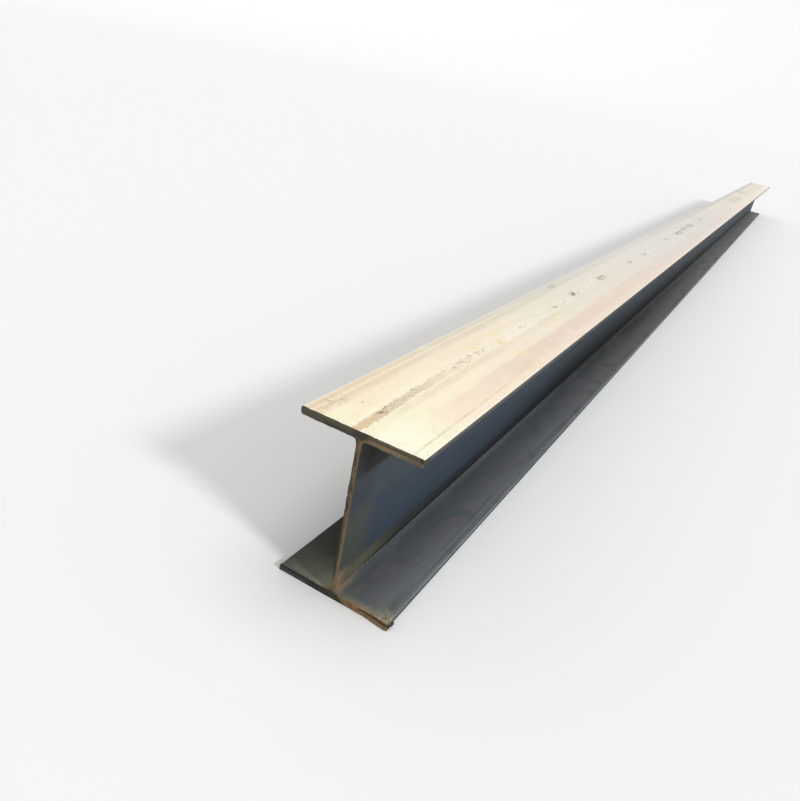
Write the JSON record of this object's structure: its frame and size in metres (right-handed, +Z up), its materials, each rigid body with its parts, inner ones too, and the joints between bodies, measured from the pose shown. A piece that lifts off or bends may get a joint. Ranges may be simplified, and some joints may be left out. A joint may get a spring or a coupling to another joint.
{
  "type": "steel h-beam",
  "caption": "Straight hot-rolled steel H-beam: wide parallel flanges on a central web, with rolled root fillets and square-cut ends, for columns, girders and frames.",
  "frame": {"origin": "midway along the beam and across it, on the plane of its underside", "axes": "+Z up along the web's depth, Y along the beam's length, X across the flanges; the end shown nearest is the one at -Y"},
  "size_m": [0.3, 12, 0.44],
  "materials": {
    "hot_rolled_steel": "hot-rolled mill scale, slate grey with light rust and dust, rough rusty cut ends"
  },
  "bodies": {
    "root": {"h_beam": "hot_rolled_steel"}
  },
  "joints": []
}
